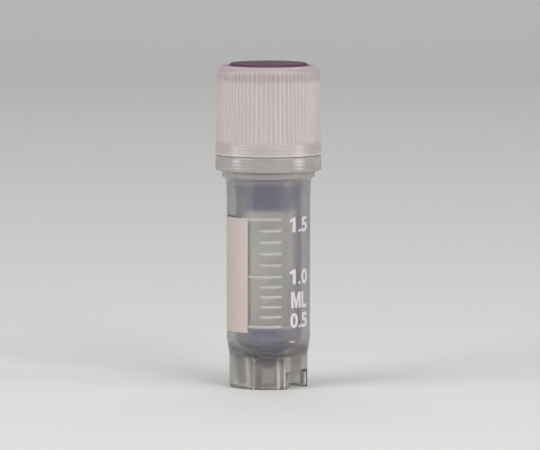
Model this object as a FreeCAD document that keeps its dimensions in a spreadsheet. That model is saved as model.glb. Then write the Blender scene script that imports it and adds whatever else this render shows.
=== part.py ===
"""Two-millilitre self-standing cryogenic vial with an external screw thread.

The vial is one moulding: a round-bottomed tube inside a notched foot skirt, a
flange that the cap closes on, and a coarse right-hand thread on the neck. A
ribbed cap with a coloured insert presses a flat washer onto the rim. Units are
millimetres, +Z is up, and the origin is the centre of the foot on the bench.
The vial faces -Y, and azimuths are counted from there towards +X.
"""
import FreeCAD, Part
import math
import os

import Sketcher

DIMENSIONS = {
    # Tube and its coned floor
    "tube_diameter": 12.5,
    "bore_diameter": 10.0,
    "bore_floor_height": 4.2,
    "bore_heel_width": 1.0,
    "bore_heel_height": 1.75,
    "dome_height": 3.0,
    "dome_rise": 1.55,
    "gate_diameter": 1.5,
    "gate_length": 0.3,
    # Foot skirt
    "skirt_diameter": 11.72,
    "skirt_wall": 0.86,
    "skirt_height": 4.6,
    "shoulder_height": 7.4,
    "skirt_edge_bevel": 0.25,
    "skirt_inner_bevel": 0.4,
    # Notches that let a rack grip the foot
    "notch_azimuth": 57.0,
    "notch_width": 5.0,
    "notch_height": 2.8,
    "notch_corner_radius": 0.8,
    "arch_azimuth": -55.0,
    "arch_width": 5.0,
    "arch_height": 0.25,
    # Fins between the dome and the skirt
    "fin_azimuth_left": -25.0,
    "fin_azimuth_right": 22.0,
    "fin_azimuth_side": 91.0,
    "fin_thickness": 0.7,
    "fin_inner_radius": 3.2,
    "fin_recess": 0.5,
    # Neck, collar and flange
    "neck_top_height": 44.4,
    "neck_diameter": 12.5,
    "mouth_bevel": 0.3,
    "flange_draft": 0.1,
    "flange_thickness": 2.35,
    "flange_bottom_height": 32.6,
    "flange_edge_bevel": 0.2,
    "collar_diameter": 13.95,
    "collar_depth": 1.0,
    "collar_bevel": 0.4,
    "collar_taper_rise": 0.15,
    "collar_taper_depth": 2.6,
    # Screw thread
    "thread_pitch": 3.0,
    "thread_depth": 0.6,
    "thread_root_width": 1.3,
    "thread_crest_width": 0.55,
    "thread_start": 1.9,
    "thread_top_margin": 0.9,
    "thread_clearance": 0.2,
    "thread_sink": 0.1,
    # Cap
    "cap_gap": 0.05,
    "cap_wall": 0.84,
    "cap_draft": 0.2,
    "cap_lip_flare": 0.19,
    "cap_band_height": 1.6,
    "cap_lip_height": 0.8,
    "cap_lip_bevel": 0.15,
    "cap_mouth_bevel": 0.3,
    "cap_plate_thickness": 1.0,
    "cap_corner_radius": 1.1,
    "rim_wall": 1.64,
    "rim_inner_bevel": 0.12,
    "recess_depth": 1.9,
    "rib_count": 72,
    "rib_depth": 0.16,
    "rib_top_margin": 2.1,
    "groove_width": 0.5,
    "groove_overrun": 0.2,
    # Coloured insert
    "insert_clearance": 0.2,
    "insert_proud": 0.5,
    "insert_edge_bevel": 0.35,
    "insert_plate_thickness": 0.9,
    "insert_wall": 0.8,
    # Seal
    "washer_thickness": 1.0,
    "washer_hole_diameter": 8.4,
    "washer_clearance": 0.15,
    # Printing on the tube
    "ink_thickness": 0.04,
    "panel_start_azimuth": 146.0,
    "panel_angle": 184.5,
    "panel_bottom_height": 8.55,
    "panel_length": 17.15,
    "mark_right_azimuth": 17.4,
    "mark_short_angle": 29.1,
    "mark_long_angle": 46.0,
    "mark_width": 0.4,
    "mark_first_height": 9.5,
    "mark_lower_step": 1.5,
    "mark_upper_step": 1.72,
}

MARKS_PER_SPAN = 5
ROUND_STEPS = 3
FRONT = "-90"

NECK_TOP = "Dimensions.neck_top_height"
FLANGE_TOP = "(Dimensions.flange_bottom_height + Dimensions.flange_thickness)"
LIP = f"({FLANGE_TOP} + Dimensions.cap_gap)"
PLATE_BOTTOM = f"({NECK_TOP} + Dimensions.washer_thickness)"
PLATE_TOP = f"({PLATE_BOTTOM} + Dimensions.cap_plate_thickness)"
RIM = f"({PLATE_TOP} + Dimensions.recess_depth)"
BAND_TOP = f"({LIP} + Dimensions.cap_band_height)"
RIB_TOP = f"({RIM} - Dimensions.rib_top_margin)"
NECK_THREAD_START = f"({FLANGE_TOP} + Dimensions.thread_start)"
CAP_THREAD_START = f"({NECK_THREAD_START} + Dimensions.thread_pitch / 2)"
CREST_RADIUS = "(Dimensions.neck_diameter / 2 + Dimensions.thread_depth)"
CAP_BORE = f"({CREST_RADIUS} + Dimensions.thread_clearance)"
CAP_CREST = "(Dimensions.neck_diameter / 2 + Dimensions.thread_clearance)"
CAP_RADIUS = f"({CAP_BORE} + Dimensions.cap_wall)"
CAP_TOP_RADIUS = f"({CAP_RADIUS} - Dimensions.cap_draft)"
LIP_RADIUS = f"({CAP_RADIUS} + Dimensions.cap_lip_flare)"
RECESS_RADIUS = f"({CAP_TOP_RADIUS} - Dimensions.rim_wall)"
FLANGE_LOW_RADIUS = f"({CAP_RADIUS} + Dimensions.flange_draft)"
TUBE_RADIUS = "Dimensions.tube_diameter / 2"
BORE_RADIUS = "Dimensions.bore_diameter / 2"
SKIRT_RADIUS = "Dimensions.skirt_diameter / 2"
SKIRT_INNER = "(Dimensions.skirt_diameter / 2 - Dimensions.skirt_wall)"
FLOOR_SLOPE = f"(Dimensions.dome_rise / {SKIRT_INNER})"


class Corner:
    """A corner of an outline, with the radius of the arc that leads to it."""

    def __init__(self, across, up, arc=None, bulge=1):
        self.across = str(across)
        self.up = str(up)
        self.arc = arc
        self.bulge = bulge


def make_sheet(doc):
    """Write every driving dimension into a named cell."""
    sheet = doc.addObject("Spreadsheet::Sheet", "Dimensions")
    for row, (name, value) in enumerate(DIMENSIONS.items(), start=1):
        sheet.set(f"A{row}", name)
        sheet.set(f"B{row}", str(value))
        sheet.setAlias(f"B{row}", name)
    doc.recompute()
    return sheet


def value_of(sheet, expression):
    """Work out an expression from the sheet as a plain number."""
    result = sheet.evalExpression(str(expression))
    return float(getattr(result, "Value", result))


def origin_feature(body, role):
    """Find one of a body's own origin planes or axes by its role."""
    return next(item for item in body.Origin.OriginFeatures if item.Role == role)


def new_body(doc, label):
    """Start a body that carries its file's name."""
    body = doc.addObject("PartDesign::Body", label + "_body")
    body.Label = label
    return body


def new_sketch(body, name, role, turn=None, lift=None):
    """Attach a sketch to an origin plane, turned about +Z and moved out along its normal."""
    sketch = body.newObject("Sketcher::SketchObject", name)
    sketch.AttachmentSupport = (origin_feature(body, role), [""])
    sketch.MapMode = "FlatFace"
    upright = FreeCAD.Vector(0, 0, 1) if role == "XY_Plane" else FreeCAD.Vector(0, 1, 0)
    start = FreeCAD.Rotation(upright, 1)
    sketch.AttachmentOffset = FreeCAD.Placement(FreeCAD.Vector(), start)
    angle = f"({turn or 0}) * 1 deg"
    sketch.setExpression("AttachmentOffset.Rotation.Angle", angle)
    if lift is not None:
        sketch.setExpression("AttachmentOffset.Base.x", f"({lift}) * sin({angle})")
        sketch.setExpression("AttachmentOffset.Base.z", f"({lift}) * cos({angle})")
    return sketch


def arc_between(first, last, radius, bulge):
    """Arc of a given radius whose middle lies to the left (+1) or right (-1)."""
    chord = last - first
    half = chord.Length / 2
    height = math.sqrt(max(radius * radius - half * half, 0.0))
    normal = FreeCAD.Vector(-chord.y, chord.x, 0).normalize()
    centre = first + chord * 0.5 - normal * (height * bulge)
    start = math.atan2(first.y - centre.y, first.x - centre.x)
    end = math.atan2(last.y - centre.y, last.x - centre.x)
    if bulge > 0:
        start, end = end, start
    circle = Part.Circle(centre, FreeCAD.Vector(0, 0, 1), radius)
    return Part.ArcOfCircle(circle, start, end)


def draw_outline(sketch, sheet, corners):
    """Draw a closed outline whose corners and arcs are bound to the sheet."""
    points = [FreeCAD.Vector(value_of(sheet, c.across), value_of(sheet, c.up), 0) for c in corners]
    ends = []
    for index, corner in enumerate(corners):
        here, before = points[index], points[index - 1]
        if corner.arc is None:
            edge = sketch.addGeometry(Part.LineSegment(before, here))
            ends.append((edge, 1, 2))
            continue
        radius = value_of(sheet, corner.arc)
        edge = sketch.addGeometry(arc_between(before, here, radius, corner.bulge))
        ends.append((edge, 2, 1) if corner.bulge > 0 else (edge, 1, 2))
        rule = sketch.addConstraint(Sketcher.Constraint("Radius", edge, radius))
        sketch.setExpression(f"Constraints[{rule}]", str(corner.arc))
    for index, corner in enumerate(corners):
        edge, _, tail = ends[index]
        following, head, _ = ends[(index + 1) % len(corners)]
        sketch.addConstraint(Sketcher.Constraint("Coincident", edge, tail, following, head))
        bind_point(sketch, (edge, tail), "DistanceX", points[index].x, corner.across)
        bind_point(sketch, (edge, tail), "DistanceY", points[index].y, corner.up)


def bind_point(sketch, point, kind, distance, expression):
    """Hold a point at a bound distance from the sketch's origin."""
    if expression == "0":
        axis = -2 if kind == "DistanceX" else -1
        sketch.addConstraint(Sketcher.Constraint("PointOnObject", point[0], point[1], axis))
        return
    rule = sketch.addConstraint(Sketcher.Constraint(kind, -1, 1, point[0], point[1], distance))
    sketch.setExpression(f"Constraints[{rule}]", expression)


def revolve(body, sketch, name):
    """Turn a sketch once round the body's +Z axis."""
    feature = body.newObject("PartDesign::Revolution", name)
    feature.Profile = sketch
    feature.ReferenceAxis = (origin_feature(body, "Z_Axis"), [""])
    feature.Angle = 360
    sketch.Visibility = False
    body.Tip = feature
    return feature


def repeat(body, features, name, count):
    """Repeat features evenly round the body's +Z axis."""
    pattern = body.newObject("PartDesign::PolarPattern", name)
    pattern.Originals = features
    pattern.Axis = (origin_feature(body, "Z_Axis"), [""])
    pattern.Angle = 360
    pattern.Occurrences = count
    body.Tip = pattern
    return pattern


def thread_section(root, crest, middle):
    """Trapezoid from a wide root to a narrow crest."""
    wide = "Dimensions.thread_root_width / 2"
    narrow = "Dimensions.thread_crest_width / 2"
    return [
        Corner(root, f"{middle} - {wide}"),
        Corner(crest, f"{middle} - {narrow}"),
        Corner(crest, f"{middle} + {narrow}"),
        Corner(root, f"{middle} + {wide}"),
    ]


def wind_thread(body, sheet, name, root, crest, start):
    """Wind a right-handed ridge from its start height to just below the neck's top."""
    sketch = new_sketch(body, name + "_section", "XZ_Plane")
    draw_outline(sketch, sheet, thread_section(root, crest, start))
    half_width = "Dimensions.thread_root_width / 2"
    climb = f"({NECK_TOP} - Dimensions.thread_top_margin - {half_width} - {start})"
    thread = body.newObject("PartDesign::AdditiveHelix", name)
    thread.Profile = sketch
    thread.ReferenceAxis = (origin_feature(body, "Z_Axis"), [""])
    thread.Mode = "pitch-turns-angle"
    thread.setExpression("Pitch", "Dimensions.thread_pitch")
    thread.setExpression("Turns", f"{climb} / Dimensions.thread_pitch")
    thread.Angle = 0
    thread.LeftHanded = False
    thread.Reversed = False
    body.Tip = thread
    return thread


def vial_outline():
    """Half section of the tube, its floor, foot skirt, collar, flange and neck."""
    edge = "Dimensions.skirt_edge_bevel"
    bevel = "Dimensions.skirt_inner_bevel"
    flange = "Dimensions.flange_bottom_height"
    soft = "Dimensions.flange_edge_bevel"
    collar = "Dimensions.collar_diameter / 2"
    taper = f"({TUBE_RADIUS} + Dimensions.collar_taper_rise)"
    collar_foot = f"({flange} - Dimensions.collar_depth)"
    gate = "Dimensions.gate_diameter / 2"
    gate_end = "Dimensions.dome_height - Dimensions.gate_length"
    heel = f"({BORE_RADIUS} - Dimensions.bore_heel_width)"
    return [
        Corner("0", gate_end),
        Corner(gate, gate_end),
        Corner(gate, dome_at(gate)),
        Corner(SKIRT_INNER, dome_at(SKIRT_INNER)),
        Corner(SKIRT_INNER, bevel),
        Corner(f"{SKIRT_INNER} + {bevel} / 2", "0"),
        Corner(f"{SKIRT_RADIUS} - {edge}", "0"),
        Corner(SKIRT_RADIUS, edge),
        Corner(SKIRT_RADIUS, "Dimensions.skirt_height"),
        Corner(TUBE_RADIUS, "Dimensions.shoulder_height"),
        Corner(TUBE_RADIUS, f"{collar_foot} - Dimensions.collar_bevel - Dimensions.collar_taper_depth"),
        Corner(taper, f"{collar_foot} - Dimensions.collar_bevel"),
        Corner(collar, collar_foot),
        Corner(collar, flange),
        Corner(f"{FLANGE_LOW_RADIUS} - {soft}", flange),
        Corner(FLANGE_LOW_RADIUS, f"{flange} + {soft}"),
        Corner(CAP_RADIUS, f"{FLANGE_TOP} - {soft}"),
        Corner(f"{CAP_RADIUS} - {soft}", FLANGE_TOP),
        Corner("Dimensions.neck_diameter / 2", FLANGE_TOP),
        Corner("Dimensions.neck_diameter / 2", f"{NECK_TOP} - Dimensions.mouth_bevel"),
        Corner("Dimensions.neck_diameter / 2 - Dimensions.mouth_bevel", NECK_TOP),
        Corner(f"{BORE_RADIUS} + Dimensions.mouth_bevel", NECK_TOP),
        Corner(BORE_RADIUS, f"{NECK_TOP} - Dimensions.mouth_bevel"),
        Corner(BORE_RADIUS, f"{floor_at(heel)} + Dimensions.bore_heel_height"),
        Corner(heel, floor_at(heel)),
        Corner("0", "Dimensions.bore_floor_height"),
    ]


def dome_at(radius):
    """Height of the floor's outer face at a distance from the axis."""
    return f"(Dimensions.dome_height + {FLOOR_SLOPE} * ({radius}))"


def floor_at(radius):
    """Height of the bore's floor at a distance from the axis."""
    return f"(Dimensions.bore_floor_height + {FLOOR_SLOPE} * ({radius}))"


def add_fins(body, sheet):
    """Three upright fins that tie the dome to the skirt, each with its opposite."""
    outer = f"({SKIRT_RADIUS} - Dimensions.skirt_wall / 2)"
    inner = "Dimensions.fin_inner_radius"
    wall = "(Dimensions.bore_floor_height - Dimensions.dome_height)"
    fins = []
    for side in ("left", "right", "side"):
        turn = f"Dimensions.fin_azimuth_{side} + {FRONT}"
        sketch = new_sketch(body, f"fin_{side}_outline", "XZ_Plane", turn=turn)
        draw_outline(sketch, sheet, [
            Corner(inner, "Dimensions.fin_recess"),
            Corner(outer, "Dimensions.fin_recess"),
            Corner(outer, f"{dome_at(SKIRT_INNER)} + {wall} / 4"),
            Corner(inner, f"{dome_at(inner)} + {wall} / 4"),
        ])
        fin = body.newObject("PartDesign::Pad", f"fin_{side}")
        fin.Profile = sketch
        fin.Midplane = True
        fin.setExpression("Length", "Dimensions.fin_thickness")
        body.Tip = fin
        fins.append(fin)
    return repeat(body, fins, "fins", 2)


def cut_foot_opening(body, sheet, kind, corner_radius):
    """Cut one kind of opening through the skirt, with its opposite."""
    half = f"Dimensions.{kind}_width / 2"
    top = f"Dimensions.{kind}_height"
    corner = corner_radius
    turn = f"Dimensions.{kind}_azimuth"
    under = "-Dimensions.skirt_wall"
    start = f"{SKIRT_INNER} - Dimensions.skirt_wall"
    sketch = new_sketch(body, f"{kind}_outline", "XZ_Plane", turn=turn, lift=start)
    draw_outline(sketch, sheet, [
        Corner(f"-{half}", under),
        Corner(half, under),
        Corner(half, f"{top} - {corner}"),
        Corner(f"{half} - {corner}", top, arc=corner, bulge=-1),
        Corner(f"-({half} - {corner})", top),
        Corner(f"-{half}", f"{top} - {corner}", arc=corner, bulge=-1),
    ])
    pocket = body.newObject("PartDesign::Pocket", kind)
    pocket.Profile = sketch
    pocket.Reversed = True
    pocket.setExpression("Length", "3 * Dimensions.skirt_wall")
    body.Tip = pocket
    return repeat(body, [pocket], f"{kind}_pair", 2)


def make_vial(doc, sheet):
    """The vial: one moulding from foot skirt to threaded neck."""
    body = new_body(doc, "vial")
    sketch = new_sketch(body, "vial_section", "XZ_Plane")
    draw_outline(sketch, sheet, vial_outline())
    revolve(body, sketch, "vial_wall")
    add_fins(body, sheet)
    cut_foot_opening(body, sheet, "notch", "Dimensions.notch_corner_radius")
    cut_foot_opening(body, sheet, "arch", "Dimensions.arch_height / 2")
    root = "Dimensions.neck_diameter / 2 - Dimensions.thread_sink"
    wind_thread(body, sheet, "neck_thread", root, CREST_RADIUS, NECK_THREAD_START)
    return body


def stepped_round(across, up, radius):
    """Corners of an outer quarter round that is drawn in equal straight steps."""
    corners = []
    for step in range(ROUND_STEPS + 1):
        angle = f"({step} * 90 deg / {ROUND_STEPS})"
        corners.append(Corner(
            f"{across} - {radius} * (1 - cos{angle})", f"{up} - {radius} * (1 - sin{angle})",
        ))
    return corners


def cap_outline():
    """Half section of the cap, whose grip is a plain cone until it is grooved."""
    soft = "Dimensions.cap_lip_bevel"
    inner = "Dimensions.rim_inner_bevel"
    bevel = "Dimensions.cap_mouth_bevel"
    return [
        Corner("0", PLATE_BOTTOM),
        Corner(CAP_BORE, PLATE_BOTTOM),
        Corner(CAP_BORE, f"{LIP} + {bevel}"),
        Corner(f"{CAP_BORE} + {bevel}", LIP),
        Corner(f"{LIP_RADIUS} - {soft}", LIP),
        Corner(LIP_RADIUS, f"{LIP} + {soft}"),
        Corner(f"{CAP_RADIUS} + Dimensions.cap_lip_flare / 3", f"{LIP} + Dimensions.cap_lip_height"),
        Corner(CAP_RADIUS, BAND_TOP),
        Corner(CAP_TOP_RADIUS, RIB_TOP),
        *stepped_round(CAP_TOP_RADIUS, RIM, "Dimensions.cap_corner_radius"),
        Corner(f"{RECESS_RADIUS} + {inner}", RIM),
        Corner(RECESS_RADIUS, f"{RIM} - {inner}"),
        Corner(RECESS_RADIUS, PLATE_TOP),
        Corner("0", PLATE_TOP),
    ]


def groove_section(body, sheet, name, radius, height):
    """Section of one groove, open outwards, on a level plane of the cap."""
    sketch = new_sketch(body, name, "XY_Plane")
    sketch.setExpression("AttachmentOffset.Base.z", height)
    overrun = "Dimensions.groove_overrun"
    widening = f"(1 + {overrun} / Dimensions.rib_depth)"
    half = f"(Dimensions.groove_width / 2 * {widening})"
    draw_outline(sketch, sheet, [
        Corner(f"{radius} - Dimensions.rib_depth", "0"),
        Corner(f"{radius} + {overrun}", f"-{half}"),
        Corner(f"{radius} + {overrun}", half),
    ])
    return sketch


def cut_grooves(body, sheet):
    """Cut the upright grooves that leave the grip's ribs standing."""
    groove = body.newObject("PartDesign::SubtractiveLoft", "groove")
    groove.Profile = groove_section(body, sheet, "groove_foot", CAP_RADIUS, BAND_TOP)
    groove.Sections = [groove_section(body, sheet, "groove_head", CAP_TOP_RADIUS, RIB_TOP)]
    groove.Ruled = True
    body.Tip = groove
    ribs = repeat(body, [groove], "grooves", 2)
    ribs.setExpression("Occurrences", "Dimensions.rib_count")


def make_cap(doc, sheet):
    """The cap: threaded inside, ribbed outside, recessed on top."""
    body = new_body(doc, "cap")
    sketch = new_sketch(body, "cap_section", "XZ_Plane")
    draw_outline(sketch, sheet, cap_outline())
    revolve(body, sketch, "cap_wall")
    cut_grooves(body, sheet)
    root = f"{CAP_BORE} + Dimensions.thread_sink"
    wind_thread(body, sheet, "cap_thread", root, CAP_CREST, CAP_THREAD_START)
    return body


def make_insert(doc, sheet):
    """The coloured insert: a disc with a rim that stands in the recess."""
    radius = f"({RECESS_RADIUS} - Dimensions.insert_clearance)"
    top = f"({RIM} + Dimensions.insert_proud)"
    soft = "Dimensions.insert_edge_bevel"
    under = f"({top} - Dimensions.insert_plate_thickness)"
    body = new_body(doc, "cap_insert")
    sketch = new_sketch(body, "insert_section", "XZ_Plane")
    draw_outline(sketch, sheet, [
        Corner("0", under),
        Corner(f"{radius} - Dimensions.insert_wall", under),
        Corner(f"{radius} - Dimensions.insert_wall", PLATE_TOP),
        Corner(radius, PLATE_TOP),
        Corner(radius, f"{top} - {soft}"),
        Corner(f"{radius} - {soft}", top),
        Corner("0", top),
    ])
    revolve(body, sketch, "insert_wall")
    return body


def make_washer(doc, sheet):
    """The flat silicone washer between the vial's rim and the cap's plate."""
    body = new_body(doc, "seal_washer")
    outer = f"({CAP_BORE} - Dimensions.washer_clearance)"
    hole = "Dimensions.washer_hole_diameter / 2"
    sketch = new_sketch(body, "washer_section", "XZ_Plane")
    draw_outline(sketch, sheet, [
        Corner(hole, NECK_TOP),
        Corner(outer, NECK_TOP),
        Corner(outer, PLATE_BOTTOM),
        Corner(hole, PLATE_BOTTOM),
    ])
    revolve(body, sketch, "washer_ring")
    return body


def printed_patch(doc, name, start, sweep, low, length):
    """Wedge of a disc that stands one ink thickness proud of the tube."""
    patch = doc.addObject("Part::Cylinder", name)
    patch.Placement = FreeCAD.Placement(FreeCAD.Vector(), FreeCAD.Rotation(FreeCAD.Vector(0, 0, 1), 1))
    patch.setExpression("Radius", f"{TUBE_RADIUS} + Dimensions.ink_thickness")
    patch.setExpression("Height", length)
    patch.setExpression("Angle", sweep)
    patch.setExpression("Placement.Base.z", low)
    patch.setExpression("Placement.Rotation.Angle", f"({start} + {FRONT}) * 1 deg")
    return patch


def tube_core(doc, name):
    """Plug of the tube's own diameter, which the printing wraps."""
    core = doc.addObject("Part::Cylinder", name)
    core.setExpression("Radius", TUBE_RADIUS)
    core.setExpression("Height", FLANGE_TOP)
    return core


def make_panel(doc):
    """The white writing panel printed round the left side and the back."""
    patch = printed_patch(
        doc, "panel_patch", "Dimensions.panel_start_azimuth", "Dimensions.panel_angle",
        "Dimensions.panel_bottom_height", "Dimensions.panel_length",
    )
    panel = doc.addObject("Part::Cut", "panel_print")
    panel.Label = "writing_panel"
    panel.Base = patch
    panel.Tool = tube_core(doc, "panel_core")
    return panel


def make_marks(doc):
    """The printed scale: a long mark at each half millilitre, short ones between."""
    marks = []
    for index in range(2 * MARKS_PER_SPAN + 1):
        lower = min(index, MARKS_PER_SPAN)
        upper = index - lower
        kind = "long" if index % MARKS_PER_SPAN == 0 else "short"
        sweep = f"Dimensions.mark_{kind}_angle"
        middle = (
            "Dimensions.mark_first_height"
            f" + {lower} * Dimensions.mark_lower_step + {upper} * Dimensions.mark_upper_step"
        )
        marks.append(printed_patch(
            doc, f"mark_{index}", f"Dimensions.mark_right_azimuth - {sweep}", sweep,
            f"{middle} - Dimensions.mark_width / 2", "Dimensions.mark_width",
        ))
    scale = doc.addObject("Part::MultiFuse", "mark_patches")
    scale.Shapes = marks
    printed = doc.addObject("Part::Cut", "mark_print")
    printed.Label = "graduation_marks"
    printed.Base = scale
    printed.Tool = tube_core(doc, "mark_core")
    return printed


def check_document(doc, parts):
    """Stop if any object failed or any sub-part has no sound shape."""
    for item in doc.Objects:
        if "Invalid" in item.State or "Error" in item.State:
            raise RuntimeError(f"{item.Label} failed: {item.State}")
    for part in parts:
        if part.Shape.isNull() or not part.Shape.isValid():
            raise RuntimeError(f"{part.Label} has no sound shape")


def main():
    """Build the document and write one STEP file for each sub-part."""
    doc = FreeCAD.newDocument("cryovial")
    sheet = make_sheet(doc)
    parts = [
        make_vial(doc, sheet),
        make_cap(doc, sheet),
        make_insert(doc, sheet),
        make_washer(doc, sheet),
        make_panel(doc),
        make_marks(doc),
    ]
    doc.recompute()
    check_document(doc, parts)
    os.makedirs("parts", exist_ok=True)
    for part in parts:
        part.Shape.exportStep(f"parts/{part.Label}.step")
        box = part.Shape.BoundBox
        print(part.Label, len(part.Shape.Solids), round(part.Shape.Volume, 3),
              [round(v, 3) for v in (box.XMin, box.YMin, box.ZMin, box.XMax, box.YMax, box.ZMax)])


main()
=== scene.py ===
"""Looks of a two-millilitre self-standing cryogenic vial with a screw cap.

The vial is a translucent polypropylene moulding with a notched foot, the cap is
milky polypropylene with a plum-coloured insert, and the scale and the writing
panel are white ink on the tube. Sizes are in millimetres until a mesh is made,
+Z is up, and azimuths are counted from the front, -Y, towards +X.
"""

import logging
import math
from collections.abc import Callable
from dataclasses import dataclass
from enum import Enum
from functools import partial

import bmesh
import bpy
from mathutils import Matrix, Vector


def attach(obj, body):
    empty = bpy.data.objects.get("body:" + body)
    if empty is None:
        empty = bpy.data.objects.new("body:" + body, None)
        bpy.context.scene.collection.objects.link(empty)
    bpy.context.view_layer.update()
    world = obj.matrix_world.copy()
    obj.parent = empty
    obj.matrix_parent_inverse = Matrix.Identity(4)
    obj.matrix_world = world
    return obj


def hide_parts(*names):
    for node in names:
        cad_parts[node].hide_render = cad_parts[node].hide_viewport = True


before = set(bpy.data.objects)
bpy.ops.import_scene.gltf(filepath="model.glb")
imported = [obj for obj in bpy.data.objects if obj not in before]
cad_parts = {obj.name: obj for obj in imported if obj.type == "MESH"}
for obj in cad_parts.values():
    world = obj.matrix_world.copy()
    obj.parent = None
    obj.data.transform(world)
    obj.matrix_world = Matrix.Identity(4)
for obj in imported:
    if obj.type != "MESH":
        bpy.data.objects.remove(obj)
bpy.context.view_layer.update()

Tree = bpy.types.NodeTree
Socket = bpy.types.NodeSocket
Add = Callable[..., Socket]
Material = bpy.types.Material
Piece = bpy.types.Object
Form = bmesh.types.BMesh
Point = bmesh.types.BMVert
Span = tuple[float, float]
Outline = list[tuple[float, ...]]

MM = 0.001
MERGE = 1e-7
CREASE = 32.0
ROUND_STEPS = 6
# A Mix node's colour inputs share their names with others, so they go by number.
UNDER, OVER = 6, 7
log = logging.getLogger("cryovial")


class Ride(Enum):
    """Bodies of the frame that the pieces ride on."""

    VIAL = "vial"
    SEAL = "seal"
    CAP = "cap"


class Slot(Enum):
    """Material slots of the record."""

    VIAL = "natural_polypropylene"
    CAP = "milky_polypropylene"
    INSERT = "plum_plastic"
    SEAL = "silicone"
    INK = "white_ink"


class Join(Enum):
    """Ways in which one closed form acts on another."""

    ADD = "UNION"
    CUT = "DIFFERENCE"


# ---------------------------------------------------------------- materials


def linear(colour: str) -> tuple[float, float, float, float]:
    """Turn an sRGB hex colour to a linear one.

    Args:
        colour: the colour as "#RRGGBB".

    Returns:
        Red, green, blue and an alpha of 1.
    """
    channels = [int(colour[i:i + 2], 16) / 255 for i in (1, 3, 5)]
    red, green, blue = [
        c / 12.92 if c <= 0.04045 else ((c + 0.055) / 1.055) ** 2.4 for c in channels
    ]
    return red, green, blue, 1.0


def add_node(
    tree: Tree, kind: str, inputs: dict | None = None, output: str = "", **settings: object,
) -> Socket | None:
    """Add a shader node with its settings, socket values and incoming links.

    Args:
        tree: the node tree that gets the node.
        kind: the node's type name, after "ShaderNode".
        inputs: by name or number, the values of its inputs or the sockets that feed them.
        output: the output that is wanted, where it isn't the first in use.
        settings: the node's own properties.

    Returns:
        The wanted output socket, or None for a node that has none.
    """
    node = tree.nodes.new(f"ShaderNode{kind}")
    for name, value in settings.items():
        setattr(node, name, value)
    for name, value in (inputs or {}).items():
        if isinstance(value, Socket):
            tree.links.new(value, node.inputs[name])
        else:
            node.inputs[name].default_value = value
    return next((s for s in node.outputs if s.enabled and output in ("", s.name)), None)


def turned_place(add: Add) -> tuple[Socket, Socket, Socket, Socket]:
    """Tell where a place lies on a turned form.

    Args:
        add: adds a node to the tree.

    Returns:
        The sockets with its way to the right, its height, the place without its
        height, and its distance from the axis.
    """
    place = add("TexCoord", output="Object")
    axes = add("SeparateXYZ", {"Vector": place}).node.outputs
    flat = add("VectorMath", {0: place, 1: (1, 1, 0)}, operation="MULTIPLY")
    radius = add("VectorMath", {0: flat}, operation="LENGTH")
    return axes["X"], axes["Z"], flat, radius


def facing(add: Add, flat: Socket, azimuth: float) -> Socket:
    """Tell how squarely a place on a wall faces an azimuth.

    Args:
        add: adds a node to the tree.
        flat: the place, without its height.
        azimuth: the azimuth in degrees.

    Returns:
        The socket with the cosine of the angle between the two.
    """
    turn = math.radians(azimuth)
    aim = add("VectorMath", {0: flat}, operation="NORMALIZE")
    way = (math.sin(turn), -math.cos(turn), 0)
    return add("VectorMath", {0: aim, 1: way}, operation="DOT_PRODUCT")


@dataclass(frozen=True)
class Noise:
    """A soft random pattern, which is also a relief where it has a depth.

    A mould's real grain is too fine to show, so it is as coarse as it needs to be.
    """

    size_mm: float
    detail: float = 2.0
    roughness: float = 0.5
    depth_mm: float = 0.0
    strength: float = 0.0


@dataclass(frozen=True)
class TurnedRings:
    """Level rings that a turned mould leaves between two heights.

    Real ones lie too close to show, so these are as coarse as they need to be.
    """

    depth_mm: float
    span_mm: Span
    pitch_mm: float = 0.5

    def relief(self, add: Add, place: Socket) -> Socket:
        """Make the rings' relief, which leaves all other heights as they are.

        Args:
            add: adds a node to the tree.
            place: the place on the object.

        Returns:
            The socket with the normal.
        """
        low, high = self.span_mm
        height = add("SeparateXYZ", {"Vector": place}, "Z")
        turn = add("Math", {0: height, 1: math.tau / (self.pitch_mm * MM)}, operation="MULTIPLY")
        wave = add("Math", {0: turn}, operation="SINE")
        here = add(
            "Math", {0: height, 1: (low + high) / 2 * MM, 2: (high - low) / 2 * MM},
            operation="COMPARE",
        )
        rings = add("Math", {0: wave, 1: here}, operation="MULTIPLY")
        return add("Bump", {"Height": rings, "Strength": 1.0, "Distance": self.depth_mm * MM})


@dataclass(frozen=True)
class Finish:
    """A named finish of one even colour."""

    name: str
    colour: str
    roughness: float
    gloss: float = 0.5

    def surface(self, add: Add) -> dict:
        """The shader's inputs: their values, or the sockets that feed them."""
        return {
            "Base Color": linear(self.colour), "Roughness": self.roughness,
            "Specular IOR Level": self.gloss,
        }

    def build(self) -> Material:
        """Build the node material.

        Returns:
            The material.
        """
        material = bpy.data.materials.new(self.name)
        material.use_nodes = True
        material.node_tree.nodes.clear()
        add = partial(add_node, material.node_tree)
        shader = add("BsdfPrincipled", self.surface(add))
        add("OutputMaterial", {"Surface": shader})
        return material


@dataclass(frozen=True)
class StudioPaper(Finish):
    """Plain matt paper of the floor and the backdrop."""

    name: str = "studio_paper"
    colour: str = "#CACAC8"
    roughness: float = 0.8
    gloss: float = 0.2


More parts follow.
